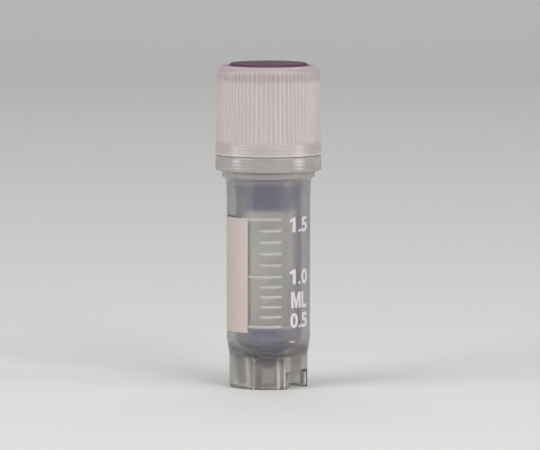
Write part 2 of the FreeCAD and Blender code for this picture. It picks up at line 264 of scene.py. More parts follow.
@dataclass(frozen=True)
class CloudedFinish(Finish):
    """A finish whose colour drifts to a shade in clouds, with a mould's grain and rings.

    The two values of each zone are where it starts and where it is full.
    """

    shade: str = "#FFFFFF"
    cloud: Noise = Noise(3.0, 3.0)
    grain: Noise | None = None
    rings: TurnedRings | None = None
    ior: float = 1.49
    subsurface: float = 0.0
    reach_mm: float = 50.0

    def surface(self, add: Add) -> dict:
        """Cloud the colour, and press the grain and the rings into the surface.

        Args:
            add: adds a node to the tree.

        Returns:
            The shader's inputs: their values, or the sockets that feed them.
        """
        place = add("TexCoord", output="Object")
        cloud, *grain = [
            add(
                "TexNoise",
                {
                    "Vector": place, "Scale": 1 / (noise.size_mm * MM),
                    "Detail": noise.detail, "Roughness": noise.roughness,
                },
            )
            for noise in (self.cloud, self.grain) if noise
        ]
        colours = {0: cloud, UNDER: linear(self.colour), OVER: linear(self.shade)}
        inputs = {
            **super().surface(add), "IOR": self.ior, "Subsurface Weight": self.subsurface,
            "Subsurface Scale": self.reach_mm * MM,
            "Base Color": add("Mix", colours, data_type="RGBA"),
        }
        if self.grain:
            relief = {
                "Height": grain[0], "Strength": self.grain.strength,
                "Distance": self.grain.depth_mm * MM,
            }
            if self.rings:
                relief["Normal"] = self.rings.relief(add, place)
            inputs["Normal"] = add("Bump", relief)
        return inputs


@dataclass(frozen=True)
class NaturalPolypropylene(CloudedFinish):
    """Injection-moulded natural polypropylene, translucent and faintly cool.

    The wall is only partly clear, so what lies behind it shows soft and grey, and
    the surface keeps a satin gloss from the mould. Painted shade greys the wall where
    the bore is seen through, less at the sides and over the floor, and leaves a front
    window in the clear colour. Where the writing panel is printed on the far side, its
    warm white shows through the wall into the bore, painted brighter than the ink as
    painted light. Pale upright lines where the fins meet the foot's wall are painted
    highlights.
    """

    name: str = "natural_polypropylene_moulded"
    colour: str = "#F3F2F1"
    roughness: float = 0.18
    shade: str = "#EEEDEC"
    cloud: Noise = Noise(4.0)
    grain: Noise = Noise(0.35, depth_mm=0.004, strength=0.15)
    rings: TurnedRings = TurnedRings(0.007, (32.9, 34.8))
    subsurface: float = 0.5
    reach_mm: float = 0.8
    # Painted shade: a cool grey where the bore is seen through, with lighter painted shade at the
    # sides and over the floor.
    painted_shade_colour: str = "#B4B4C1"
    side_painted_shade_colour: str = "#C0BDC3"
    middle_mm: float = -0.5
    side_zone_mm: Span = (1.6, 3.2)
    floor_painted_shade_colour: str = "#C9C9D5"
    floor_zone_mm: Span = (7.0, 6.2)
    # The front window where the painted shade is left off and the wall keeps its clear colour.
    unshaded_top_zone_mm: Span = (27.4, 26.6)
    unshaded_low_zone_mm: Span = (8.8, 9.5)
    unshaded_middle_deg: float = 2.0
    unshaded_side_zone_deg: Span = (46.0, 34.0)
    thick_colour: str = "#CEC9C6"
    thick_zone_mm: Span = (30.0, 32.2)
    foot_colour: str = "#D6D2CE"
    foot_zone_mm: Span = (7.2, 5.0)
    floor_sag_mm: float = 1.9
    # The print's back seen in the bore: its own warm white, painted brighter than the ink as
    # painted light.
    print_back_and_painted_light_colour: str = "#FCF8F0"
    panel_middle_deg: float = 229.75
    panel_half_deg: float = 100.75
    panel_span_mm: Span = (8.55, 25.7)
    wall_reach_mm: float = 5.6
    # Painted highlights: pale upright lines where the fins meet the foot's wall, each with its
    # azimuth, half width and strength.
    fin_highlight_colour: str = "#F2F0EE"
    fin_highlights_deg: tuple[tuple[float, ...], ...] = (
        (-22.0, 1.4, 0.22), (15.0, 1.8, 0.34), (24.5, 1.2, 0.24),
    )
    fin_highlight_blur: Span = (1.7, 0.5)
    fin_highlight_zone_mm: Span = (5.4, 2.5)
    bore_roughness: float = 0.15
    bore_radius_mm: Span = (5.2, 5.6)
    thick_roughness: float = 0.26
    transmission: float = 0.985
    foot_transmission: float = 0.95
    fin_transmission: float = 0.6
    fin_reach_mm: Span = (4.8, 5.05)
    thick_transmission: float = 0.66

    def surface(self, add: Add) -> dict:
        """Colour the wall by zones, and set how clear and how glossy each of them is.

        Args:
            add: adds a node to the tree.

        Returns:
            The shader's inputs: their values, or the sockets that feed them.
        """
        inputs = super().surface(add)
        right, height, flat, radius = turned_place(add)
        off_middle = add("Math", {0: right, 1: self.middle_mm * MM}, operation="SUBTRACT")
        aside = add("Math", {0: off_middle}, operation="ABSOLUTE")
        front = facing(add, flat, self.unshaded_middle_deg)
        turned = [math.cos(math.radians(half)) for half in self.unshaded_side_zone_deg]
        lit, below, round_way, side, floor, thick, low = [
            add(
                "MapRange",
                {"Value": value, "From Min": start * unit, "From Max": full * unit},
                interpolation_type="SMOOTHSTEP",
            )
            for value, (start, full), unit in (
                (height, self.unshaded_top_zone_mm, MM), (height, self.unshaded_low_zone_mm, MM),
                (front, turned, 1), (aside, self.side_zone_mm, MM),
                (height, self.floor_zone_mm, MM), (height, self.thick_zone_mm, MM),
                (height, self.fin_highlight_zone_mm, MM),
            )
        ]
        for share in (below, round_way):
            lit = add("Math", {0: lit, 1: share}, operation="MULTIPLY")
        # The painted shade reaches lower in the middle, where the rounded floor dips.
        sag = add("MapRange", {"Value": side, "To Min": self.floor_sag_mm * MM, "To Max": 0.0})
        raised = add("Math", {0: height, 1: sag}, operation="ADD")
        start, full = self.foot_zone_mm
        foot = add(
            "MapRange", {"Value": raised, "From Min": start * MM, "From Max": full * MM},
            interpolation_type="SMOOTHSTEP",
        )
        # Pale upright lines of painted highlight where the fins meet the foot's wall.
        joint = self._paint_fin_highlights(add, flat, low)
        # The print's back in the bore, painted brighter than the ink as painted light.
        backing = self._backing(add, flat, height, radius)
        # The wall is opaque under the painted highlights and behind the print.
        milky = add("Math", {0: backing, 1: joint}, operation="MAXIMUM")
        # The wall starts as painted shade, lighter over the floor and at the sides. The clear
        # colour is left in the front window, and the milky collar, flange and foot, the fins'
        # painted highlights and the print's brightened back go over it.
        colour = linear(self.painted_shade_colour)
        for coat, share in (
            (linear(self.floor_painted_shade_colour), floor), (linear(self.side_painted_shade_colour), side),
            (inputs["Base Color"], lit), (linear(self.thick_colour), thick),
            (linear(self.foot_colour), foot), (linear(self.fin_highlight_colour), joint),
            (linear(self.print_back_and_painted_light_colour), backing),
        ):
            colour = add("Mix", {0: share, UNDER: colour, OVER: coat}, data_type="RGBA")
        clearness, gloss = [
            add(
                "MapRange",
                {
                    "Value": radius, "From Min": start * MM, "From Max": full * MM,
                    "To Min": inner, "To Max": outer,
                },
            )
            for (start, full), inner, outer in (
                (self.fin_reach_mm, self.fin_transmission, self.foot_transmission),
                (self.bore_radius_mm, self.bore_roughness, self.roughness),
            )
        ]
        clearness = add(
            "MapRange", {"Value": foot, "To Min": self.transmission, "To Max": clearness},
        )
        for share, most in ((thick, self.thick_transmission), (milky, 0.0)):
            clearness = add("MapRange", {"Value": share, "To Min": clearness, "To Max": most})
        gloss = add("MapRange", {"Value": thick, "To Min": gloss, "To Max": self.thick_roughness})
        return inputs | {"Base Color": colour, "Transmission Weight": clearness, "Roughness": gloss}

    def _paint_fin_highlights(self, add: Add, flat: Socket, low: Socket) -> Socket:
        """Paint pale upright lines as highlights where the fins meet the foot's wall.

        Args:
            add: adds a node to the tree.
            flat: the place on the wall, without its height.
            low: 1 where the place is low enough for the lines, 0 where it isn't.

        Returns:
            The socket that rises to each line's strength on it and is 0 elsewhere.
        """
        pale = None
        for azimuth, half, strength in self.fin_highlights_deg:
            square = add("Math", {0: facing(add, flat, azimuth)}, operation="ABSOLUTE")
            start, full = [math.cos(math.radians(half * blur)) for blur in self.fin_highlight_blur]
            line = add(
                "MapRange",
                {"Value": square, "From Min": start, "From Max": full, "To Max": strength},
            )
            pale = line if pale is None else add("Math", {0: pale, 1: line}, operation="MAXIMUM")
        return add("Math", {0: pale, 1: low}, operation="MULTIPLY")

    def _backing(self, add: Add, flat: Socket, height: Socket, radius: Socket) -> Socket:
        """Mark the part of the wall that the writing panel backs.

        Args:
            add: adds a node to the tree.
            flat: the place on the wall, without its height.
            height: the height of the place.
            radius: its distance from the axis.

        Returns:
            The socket that is 1 behind the panel and 0 elsewhere.
        """
        low, high = self.panel_span_mm
        side = facing(add, flat, self.panel_middle_deg)
        backing, *others = [
            add("Math", inputs, operation=test)
            for test, inputs in (
                ("GREATER_THAN", {0: side, 1: math.cos(math.radians(self.panel_half_deg))}),
                ("COMPARE", {0: height, 1: (low + high) / 2 * MM, 2: (high - low) / 2 * MM}),
                ("LESS_THAN", {0: radius, 1: self.wall_reach_mm * MM}),
            )
        ]
        for share in others:
            backing = add("Math", {0: backing, 1: share}, operation="MULTIPLY")
        return backing


@dataclass(frozen=True)
class MilkyPolypropylene(CloudedFinish):
    """Injection-moulded milky polypropylene, satin, with light spreading inside it.

    Where the insert stands behind the rim, its plum colour shows through the wall, and
    a pale line of painted highlight runs along the lip's lower edge.
    """

    name: str = "milky_polypropylene_moulded"
    colour: str = "#C8BEBB"
    roughness: float = 0.36
    shade: str = "#BFB6B3"
    grain: Noise = Noise(0.3, depth_mm=0.006, strength=0.1)
    rings: TurnedRings = TurnedRings(0.009, (35.2, 36.9))
    subsurface: float = 0.85
    reach_mm: float = 1.8
    reach_by_colour: tuple[float, float, float] = (1.0, 0.9, 0.85)
    band_colour: str = "#BBB1AF"
    band_zone_mm: Span = (37.3, 36.7)
    # Painted highlight: a pale line along the lip's lower edge.
    lip_highlight_colour: str = "#D7CFCC"
    lip_highlight_zone_mm: Span = (35.35, 35.1)
    tint: str = "#B79CAB"
    low_tint_zone_mm: Span = (45.8, 46.4)
    low_tint_share: float = 0.3
    top_tint_zone_mm: Span = (47.3, 48.3)
    inward_zone_mm: Span = (7.5, 6.6)
    transmission: float = 0.3
    rim_transmission: float = 0.42
    rim_zone_mm: Span = (45.8, 46.4)

    def surface(self, add: Add) -> dict:
        """Colour the cap by zones, and make its rim clearer.

        Args:
            add: adds a node to the tree.

        Returns:
            The shader's inputs: their values, or the sockets that feed them.
        """
        inputs = super().surface(add)
        _, height, _, radius = turned_place(add)
        band, lip, low_tint, top_tint, inward, clearness = [
            add(
                "MapRange",
                {
                    "Value": value, "From Min": start * MM, "From Max": full * MM,
                    "To Min": least, "To Max": most,
                },
                interpolation_type="SMOOTHSTEP",
            )
            for value, (start, full), least, most in (
                (height, self.band_zone_mm, 0.0, 1.0), (height, self.lip_highlight_zone_mm, 0.0, 1.0),
                (height, self.low_tint_zone_mm, 0.0, self.low_tint_share),
                (height, self.top_tint_zone_mm, 0.0, 1.0),
                (radius, self.inward_zone_mm, 0.0, 1.0),
                (height, self.rim_zone_mm, self.transmission, self.rim_transmission),
            )
        ]
        top = add("Math", {0: inward, 1: top_tint}, operation="MULTIPLY")
        tinted = add("Math", {0: low_tint, 1: top}, operation="MAXIMUM")
        colour = inputs["Base Color"]
        # A darker band under the grip, the lip's painted highlight, and the insert's plum seen
        # through the rim.
        for coat, share in ((self.band_colour, band), (self.lip_highlight_colour, lip), (self.tint, tinted)):
            layers = {0: share, UNDER: colour, OVER: linear(coat)}
            colour = add("Mix", layers, data_type="RGBA")
        return inputs | {
            "Base Color": colour, "Transmission Weight": clearness,
            "Subsurface Radius": self.reach_by_colour,
        }


@dataclass(frozen=True)
class PlumPolypropylene(CloudedFinish):
    """Injection-moulded polypropylene, dyed plum, with a fine satin texture."""

    name: str = "plum_polypropylene_moulded"
    colour: str = "#54364A"
    roughness: float = 0.5
    gloss: float = 0.15
    shade: str = "#4B3041"
    cloud: Noise = Noise(2.5, 3.0)
    grain: Noise = Noise(0.25, depth_mm=0.008, strength=0.3)


@dataclass(frozen=True)
class Silicone(CloudedFinish):
    """Moulded silicone rubber, matt and slightly waxy."""

    name: str = "silicone_moulded"
    colour: str = "#D9D6D0"
    roughness: float = 0.6
    shade: str = "#CFCCC5"
    cloud: Noise = Noise(1.5, 3.0)
    ior: float = 1.42
    subsurface: float = 0.2
    reach_mm: float = 0.8


@dataclass(frozen=True)
class PadPrintedInk(CloudedFinish):
    """White ink, printed by a pad: matt, and a little uneven where it is thin."""

    roughness: float = 0.55
    cloud: Noise = Noise(0.6, 4.0, 0.6)
    grain: Noise = Noise(0.6, 4.0, 0.6, depth_mm=0.006, strength=0.4)
    ior: float = 1.45


# ---------------------------------------------------------------- mesh tools


def turn_outline(outline: Outline, steps: int, sweep: float = math.tau) -> Form:
    """Spin an outline round the vertical axis.

    Args:
        outline: each corner's radius, its height and, if it is rounded, how far the
            rounding reaches along both sides; it stays open where it ends on the axis.
        steps: how many steps the sweep has.
        sweep: the angle in radians.

    Returns:
        The turned form, in metres, with its seam and poles merged.
    """
    bm = bmesh.new()
    corners = [(*row, 0.0)[:3] for row in outline]
    points = [bm.verts.new((radius * MM, 0.0, height * MM)) for radius, height, _ in corners]
    for first, second in zip(points, points[1:]):
        bm.edges.new((first, second))
    if outline[0][0] > 0:
        bm.edges.new((points[-1], points[0]))
    for size in sorted({reach for *_, reach in corners if reach > 0}):
        bmesh.ops.bevel(
            bm, geom=[v for v, (*_, reach) in zip(points, corners) if reach == size],
            offset=size * MM, segments=ROUND_STEPS, profile=0.5, affect="VERTICES",
            material=-1,
        )
    bmesh.ops.spin(
        bm, geom=bm.verts[:] + bm.edges[:], axis=(0, 0, 1), angle=sweep, steps=steps,
        use_merge=math.isclose(sweep, math.tau),
    )
    bmesh.ops.remove_doubles(bm, verts=bm.verts[:], dist=MERGE)
    return bm


def block(reach: Span, width: float, rise: Span) -> tuple[Form, Vector]:
    """Make a block that stands off the axis on the +X side.

    Args:
        reach: the distances of its inner and outer side from the axis.
        width: how wide it is.
        rise: the heights of its under and upper side.

    Returns:
        The block and its middle, in metres.
    """
    (inner, outer), (low, high) = reach, rise
    bm = bmesh.new()
    bmesh.ops.create_cube(bm, size=MM)
    bmesh.ops.scale(bm, vec=(outer - inner, width, high - low), verts=bm.verts[:])
    middle = Vector(((outer + inner) / 2, 0, (high + low) / 2)) * MM
    bmesh.ops.translate(bm, vec=middle, verts=bm.verts[:])
    return bm, middle


def turn_about(bm: Form, azimuth: float) -> None:
    """Turn a form from the +X side to an azimuth, counted in degrees from the front."""
    turn = Matrix.Rotation(math.radians(azimuth - 90), 3, "Z")
    bmesh.ops.rotate(bm, verts=bm.verts[:], matrix=turn)


def gather(whole: Form, bm: Form) -> None:
    """Move a form over to a larger one.

    Args:
        whole: the form that grows.
        bm: the form that is added, which is freed.
    """
    mesh = bpy.data.meshes.new("share")
    bm.to_mesh(mesh)
    bm.free()
    whole.from_mesh(mesh)
    bpy.data.meshes.remove(mesh)


def smooth(bm: Form, crease: float) -> None:
    """Smooth a form all over, apart from its sharp edges.

    Args:
        bm: the form.
        crease: the angle in degrees past which an edge stays sharp.
    """
    for face in bm.faces:
        face.smooth = True
    for edge in bm.edges:
        edge.smooth = edge.is_manifold and edge.calc_face_angle(0.0) < math.radians(crease)


def make_piece(bm: Form, name: str, crease: float = CREASE) -> Piece:
    """Turn a finished form to a piece.

    Args:
        bm: the form, which is freed.
        name: the piece's name.
        crease: the angle in degrees past which an edge stays sharp.

    Returns:
        The piece, at the origin.
    """
    bmesh.ops.recalc_face_normals(bm, faces=bm.faces[:])
    smooth(bm, crease)
    mesh = bpy.data.meshes.new(name)
    bm.to_mesh(mesh)
    bm.free()
    piece = bpy.data.objects.new(name, mesh)
    bpy.context.scene.collection.objects.link(piece)
    return piece


def combine(piece: Piece, tools: list[Piece], how: Join) -> None:
    """Join closed forms to a piece, or cut them out of it, and delete them.

    Args:
        piece: the piece that changes.
        tools: the forms that act on it.
        how: whether they are added or cut.
    """
    for tool in tools:
        work = piece.modifiers.new(how.name.lower(), "BOOLEAN")
        work.operation = how.value
        work.solver = "EXACT"
        work.object = tool
    graph = bpy.context.evaluated_depsgraph_get()
    result = bpy.data.meshes.new_from_object(piece.evaluated_get(graph))
    piece.modifiers.clear()
    piece.data = result
    for tool in tools:
        bpy.data.objects.remove(tool)


def resmooth(piece: Piece, crease: float = CREASE) -> None:
    """Merge what a joint leaves behind and set the sharp edges again.

    Args:
        piece: the piece.
        crease: the angle in degrees past which an edge stays sharp.
    """
    bm = bmesh.new()
    bm.from_mesh(piece.data)
    bmesh.ops.remove_doubles(bm, verts=bm.verts[:], dist=MERGE)
    bmesh.ops.dissolve_degenerate(bm, edges=bm.edges[:], dist=MERGE)
    smooth(bm, crease)
    bm.to_mesh(piece.data)
    bm.free()


def dress(piece: Piece, finish: Finish, ride: Ride, slot: Slot, *nodes: str) -> None:
    """Give a piece its finish, hang it on its body, and hide the CAD nodes it stands for.

    Args:
        piece: the finished piece.
        finish: its finish.
        ride: the body that it rides on.
        slot: the record's slot for its finish; it is not used.
        nodes: the CAD nodes that it stands for.
    """
    piece.data.materials.clear()
    piece.data.materials.append(finish.build())
    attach(piece, ride.value)
    if nodes:
        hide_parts(*nodes)
    log.info("%s: %d faces", piece.name, len(piece.data.polygons))


@dataclass(frozen=True)
class Thread:
    """A coarse right-handed screw ridge."""

    name: str
    root_radius: float
    crest_radius: float
    start_height: float
    turns: float
    pitch: float = 3.0
    root_width: float = 1.3
    crest_width: float = 0.55
    steps_per_turn: int = 96
    run_out_deg: float = 35.0
    least_depth: float = 0.08

    def build(self) -> Piece:
        """Wind the ridge and let both of its ends run out into the wall.

        Returns:
            The ridge as a closed form.
        """
        bm = bmesh.new()
        roots, crests = [
            [
                bm.verts.new((radius * MM, 0, (self.start_height + side * width / 2) * MM))
                for side in (-1, 1)
            ]
            for radius, width in (
                (self.root_radius, self.root_width), (self.crest_radius, self.crest_width),
            )
        ]
        section = bm.faces.new((roots[0], crests[0], crests[1], roots[1]))
        is_crest = bm.verts.layers.int.new("crest")
        for vert in section.verts:
            vert[is_crest] = int(vert in crests)
        step = math.tau / self.steps_per_turn
        count = round(self.turns * self.steps_per_turn)
        last, verts = [section], section.verts
        for index in range(count + 1):
            share = min(index, count - index) * math.degrees(step) / self.run_out_deg
            depth = max(math.sin(min(share, 1.0) * math.pi / 2), self.least_depth)
            radius = (self.root_radius + (self.crest_radius - self.root_radius) * depth) * MM
            for vert in verts:
                if vert[is_crest]:
                    flat = vert.co.xy.normalized() * radius
                    vert.co = Vector((flat.x, flat.y, vert.co.z))
            if index < count:
                last = bmesh.ops.spin(
                    bm, geom=last, axis=(0, 0, 1), angle=step, steps=1,
                    dvec=(0, 0, self.pitch * MM / self.steps_per_turn),
                )["geom_last"]
                verts = [g for g in last if isinstance(g, Point)]
        return make_piece(bm, self.name)


# ---------------------------------------------------------------- pieces


@dataclass
class Vial:
    """The tube with its rounded floor, notched foot, collar, flange and thread.

    Each opening in the foot has an azimuth, a width, a height and its corners' round.
    """

    finish: Finish = NaturalPolypropylene()
    tube_radius: float = 6.25
    bore_radius: float = 5.0
    foot_radius: float = 5.86
    foot_inner_radius: float = 5.0
    foot_top: float = 4.6
    shoulder: float = 7.4
    shoulder_ease: float = 0.3
    ledge: float = 7.0
    ledge_under: float = 0.15
    ledge_proud: float = 0.035
    ledge_over: float = 0.35
    ledge_dip: float = 0.02
    ledge_zone: float = 0.6
    ledge_azimuth: float = 35.0
    ledge_fade: int = 4
    collar_radius: float = 6.975
    flange: float = 32.6
    flange_top: float = 34.95
    flange_radius: float = 7.89
    flange_low_radius: float = 7.99
    neck_top: float = 44.4
    neck_round: float = 0.3
    fin_azimuths: tuple[float, ...] = (-25.0, 22.0, 91.0)
    fin_thickness: float = 0.7
    fin_reach: Span = (3.2, 5.43)
    fin_rise: Span = (0.5, 4.0)
    fin_slope: float = 1.2
    fin_edge: float = 0.08
    fin_edge_steps: int = 2
    openings: tuple[tuple[float, ...], ...] = ((57.0, 5.0, 2.8, 0.8), (-55.0, 5.0, 0.25, 0.12))
    opening_reach: Span = (4.14, 6.72)
    opening_low: float = -0.86
    opening_steps: int = 5
    ridge: Thread = Thread("neck_ridge", 6.15, crest_radius=6.85, start_height=36.85, turns=2.0)
    steps: int = 192

    def outline(self) -> Outline:
        """Outline of the wall, from under the floor, up the outside and down the bore.

        Returns:
            The rows of its corners.
        """
        tube, bore, collar = self.tube_radius, self.bore_radius, self.collar_radius
        foot, inner = self.foot_radius, self.foot_inner_radius
        under = self.ledge - self.ledge_under
        return [
            (0, 2.7), (0.75, 2.7, 0.12), (0.75, 3.04), (2.5, 3.3, 1.2), (4.2, 4.25, 0.7),
            (inner, 5.0, 0.25), (inner, 0.4, 0.15), (5.2, 0.0, 0.1), (foot, 0.0, 0.25),
            (foot, self.foot_top, 0.5), (self.shoulder_radius(under), under, 0.05),
            (tube + self.ledge_proud, self.ledge, 0.05),
            (tube - self.ledge_dip, self.ledge + self.ledge_over, 0.1),
            (tube, self.shoulder + self.shoulder_ease, 0.2), (tube, 28.6, 0.8),
            (6.4, 31.2, 0.2), (collar, 31.62, 0.16), (collar, self.flange, 0.08),
            (self.flange_low_radius, self.flange, 0.25),
            (self.flange_radius, self.flange_top, 0.25), (tube, self.flange_top, 0.15),
            (tube, self.neck_top, self.neck_round), (bore, self.neck_top, self.neck_round),
            (bore, 7.1, 0.6), (4.35, 5.5, 0.8), (2.6, 4.5, 1.0), (0, 4.2),
        ]

    def shoulder_radius(self, height: float) -> float:
        """Outer radius of the slope between the foot and the tube at a height."""
        share = min((height - self.foot_top) / (self.shoulder - self.foot_top), 1.0)
        return self.foot_radius + (self.tube_radius - self.foot_radius) * share

    def build_fins(self) -> list[Piece]:
        """Build the upright fins between the floor and the foot, in opposite pairs.

        Returns:
            The fins as closed forms.
        """
        fins = []
        for azimuth in self.fin_azimuths + tuple(a + 180 for a in self.fin_azimuths):
            bm, middle = block(self.fin_reach, self.fin_thickness, self.fin_rise)
            outer = [v for v in bm.verts if v.co.z > middle.z and v.co.x > middle.x]
            bmesh.ops.translate(bm, vec=(0, 0, self.fin_slope * MM), verts=outer)
            lower = [e for e in bm.edges if all(v.co.z < middle.z for v in e.verts)]
            bmesh.ops.bevel(
                bm, geom=lower, offset=self.fin_edge * MM, segments=self.fin_edge_steps,
                profile=0.5, affect="EDGES", material=-1,
            )
            turn_about(bm, azimuth)
            fins.append(make_piece(bm, f"fin_{azimuth:.0f}"))
        return fins

    def build_openings(self) -> list[Piece]:
        """Build the blocks that cut the openings through the foot, in opposite pairs.

        Returns:
            The blocks as closed forms.
        """
        blocks = []
        for azimuth, width, height, corner in self.openings:
            for turn in (azimuth, azimuth + 180):
                bm, middle = block(self.opening_reach, width, (self.opening_low, height))
                upper = [
                    e for e in bm.edges
                    if all(v.co.z > middle.z for v in e.verts)
                    and abs(e.verts[0].co.y - e.verts[1].co.y) < MERGE
                ]
                bmesh.ops.bevel(
                    bm, geom=upper, offset=corner * MM, segments=self.opening_steps,
                    profile=0.5, affect="EDGES", material=-1,
                )
                turn_about(bm, turn)
                blocks.append(make_piece(bm, f"opening_{turn:.0f}"))
        return blocks

    def build(self) -> None:
        """Build the moulding and hand it to the frame."""
        bm = turn_outline(self.outline(), self.steps)
        for vert in bm.verts:
            self._ease_ledge(vert)
        piece = make_piece(bm, "vial_moulding")
        combine(piece, self.build_fins(), Join.ADD)
        combine(piece, self.build_openings(), Join.CUT)
        combine(piece, [self.ridge.build()], Join.ADD)
        resmooth(piece)
        dress(piece, self.finish, Ride.VIAL, Slot.VIAL, "vial")

    def _ease_ledge(self, vert: Point) -> None:
        """Let the fine ledges on the shoulder, front and back, run out at their ends.

        Args:
            vert: a point of the wall, which moves if it lies on a ledge.
        """
        radius = vert.co.xy.length / MM
        height = vert.co.z / MM
        if radius < self.foot_radius or abs(height - self.ledge) > self.ledge_zone:
            return
        azimuth = math.atan2(vert.co.x, -vert.co.y) - math.radians(self.ledge_azimuth)
        slope = self.shoulder_radius(height)
        proud = (radius - slope) * math.cos(azimuth) ** self.ledge_fade
        vert.co.xy *= (slope + proud) / radius


@dataclass
class Cap:
    """The milky cap: threaded inside, ribbed outside and recessed on top."""

    finish: Finish = MilkyPolypropylene()
    band_radius: float = 7.89
    top_radius: float = 7.69
    lip_radius: float = 8.08
    lip_height: float = 35.0
    inner_radius: float = 7.05
    plate_low: float = 45.4
    plate_top: float = 46.4
    recess_radius: float = 6.05
    band_top: float = 36.6
    grip_rows: tuple[float, ...] = (36.6, 36.7, 36.85, 37.1, 39.5, 42.0, 44.5, 46.9)
    rim: float = 48.3
    corner: float = 1.1
    rib_count: int = 72
    rib_depth: float = 0.11
    rib_rise: float = 0.45
    rib_sharpness: float = 1.3
    rise_sharpness: float = 0.7
    columns_per_rib: int = 8
    ridge: Thread = Thread("cap_ridge", 7.15, crest_radius=6.45, start_height=38.35, turns=1.5)
    crease: float = 40.0

    def outline(self) -> Outline:
        """Outline of the cap, from under the plate, round the outside to the recess.

        Returns:
            The rows of its corners.
        """
        inner, recess = self.inner_radius, self.recess_radius
        return [
            (0, self.plate_low), (inner, self.plate_low, 0.15), (inner, 35.3, 0.05),
            (7.35, self.lip_height, 0.08), (self.lip_radius, self.lip_height, 0.14),
            (7.96, 35.8, 0.3), *[(self.grip_radius(row), row) for row in self.grip_rows],
            (self.top_radius, self.rim, self.corner), (recess, self.rim, 0.12),
            (recess, self.plate_top, 0.1), (0, self.plate_top),
        ]

    def grip_radius(self, height: float) -> float:
        """Radius of the straight, drafted grip at a height."""
        share = (height - self.band_top) / (self.rim - self.band_top)
        return self.band_radius + (self.top_radius - self.band_radius) * share

    def build(self) -> None:
        """Build one rib's sector, press its groove, and repeat it round the cap."""
        pitch = math.tau / self.rib_count
        bm = turn_outline(self.outline(), self.columns_per_rib, pitch)
        for vert in bm.verts:
            self._press_groove(vert, pitch)
        bmesh.ops.spin(
            bm, geom=bm.verts[:] + bm.edges[:] + bm.faces[:], axis=(0, 0, 1),
            angle=math.tau - pitch, steps=self.rib_count - 1, use_duplicate=True,
        )
        bmesh.ops.remove_doubles(bm, verts=bm.verts[:], dist=MERGE)
        piece = make_piece(bm, "cap_moulding", self.crease)
        combine(piece, [self.ridge.build()], Join.ADD)
        resmooth(piece, self.crease)
        dress(piece, self.finish, Ride.CAP, Slot.CAP, "cap")

    def _press_groove(self, vert: Point, pitch: float) -> None:
        """Sink a point of the grip to its groove, which runs out at the corner's round.

        Args:
            vert: a point of the sector.
            pitch: the sector's angle in radians.
        """
        radius = vert.co.xy.length / MM
        height = vert.co.z / MM
        if radius < self.top_radius - self.corner or height <= self.band_top:
            return
        across = math.atan2(vert.co.y, vert.co.x) / pitch
        wave = (0.5 + 0.5 * math.cos(math.tau * across)) ** self.rib_sharpness
        start = min((height - self.band_top) / self.rib_rise, 1.0) ** self.rise_sharpness
        floor = self.grip_radius(height) - self.rib_depth * wave * start
        if radius > floor:
            vert.co.xy *= floor / radius


@dataclass
class Insert:
    """The plum disc in the cap's recess, softly crowned, with a rim below."""

    finish: Finish = PlumPolypropylene()
    radius: float = 5.85
    seat: float = 46.4
    top: float = 48.8
    plate: float = 0.9
    wall: float = 0.8
    side_drop: float = 0.2
    crown_radius: float = 3.0
    crown_drop: float = 0.01
    crown_round: float = 1.5
    steps: int = 160

    def build(self) -> None:
        """Build the insert and hand it to the frame."""
        plate, hollow = self.top - self.plate, self.radius - self.wall
        outline = [
            (0, plate), (hollow, plate, 0.15), (hollow, self.seat), (self.radius, self.seat, 0.1),
            (self.radius, self.top - self.side_drop, 0.3),
            (self.crown_radius, self.top - self.crown_drop, self.crown_round), (0, self.top),
        ]
        piece = make_piece(turn_outline(outline, self.steps), "coloured_insert")
        dress(piece, self.finish, Ride.CAP, Slot.INSERT, "cap_insert")


@dataclass
class Washer:
    """The flat silicone washer that seals the vial's rim."""

    finish: Finish = Silicone()
    hole_radius: float = 4.2
    outer_radius: float = 6.9
    low: float = 44.4
    high: float = 45.4
    edge: float = 0.1
    steps: int = 128

    def build(self) -> None:
        """Build the washer and hand it to the frame."""
        hole, outer, edge = self.hole_radius, self.outer_radius, self.edge
        outline = [
            (hole, self.low, edge), (outer, self.low, edge), (outer, self.high, edge),
            (hole, self.high, edge),
        ]
        piece = make_piece(turn_outline(outline, self.steps), "sealing_washer")
        dress(piece, self.finish, Ride.SEAL, Slot.SEAL, "seal_washer")


CUT_SIGNS = {
    "1": ((1, 0), (1, 1), (0.6, 1), (0, 0.8), (0, 0.63), (0.5, 0.76), (0.5, 0)),
    "M": (
        (0, 0), (0, 1), (0.31, 1), (0.5, 0.38), (0.69, 1), (1, 1), (1, 0), (0.77, 0),
        (0.77, 0.7), (0.59, 0), (0.41, 0), (0.23, 0.7), (0.23, 0),
    ),
    "L": ((0, 0), (0, 1), (0.33, 1), (0.33, 0.2), (1, 0.2), (1, 0)),
}


